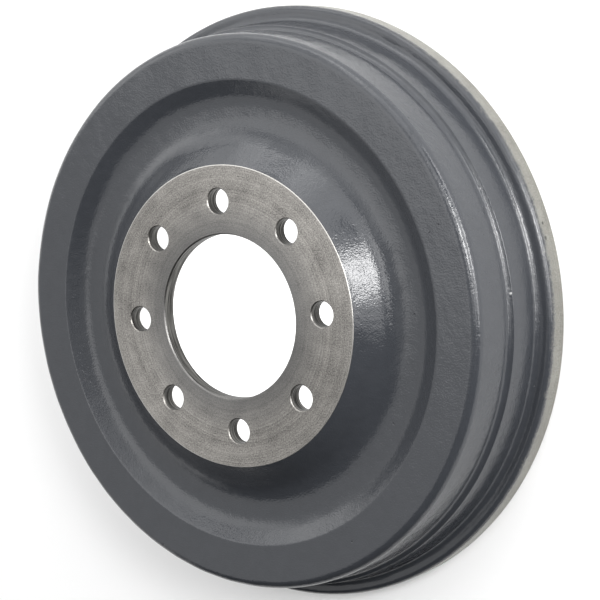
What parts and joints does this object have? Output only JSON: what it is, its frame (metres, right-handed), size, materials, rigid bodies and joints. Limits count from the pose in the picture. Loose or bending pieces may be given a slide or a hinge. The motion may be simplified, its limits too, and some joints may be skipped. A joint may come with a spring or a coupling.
{
  "type": "brake drum",
  "caption": "One-piece cast brake drum with a dished web, a stepped outer wall and a rim flange, bolted between hub and wheel so shoes can press on its turned inner surface.",
  "frame": {"origin": "centre of the open rim's plane, on the drum's axis", "axes": "+Z along the drum's axis, out of the mounting face; +X through the centre of a bolt hole"},
  "size_m": [0.405, 0.405, 0.0865],
  "materials": {
    "casting": "semi-gloss grey enamel over the cast skin, with bare turned faces at the mounting disc, the bore, the friction surface and the rim"
  },
  "bodies": {
    "root": {"brake_drum": "casting"}
  },
  "joints": []
}
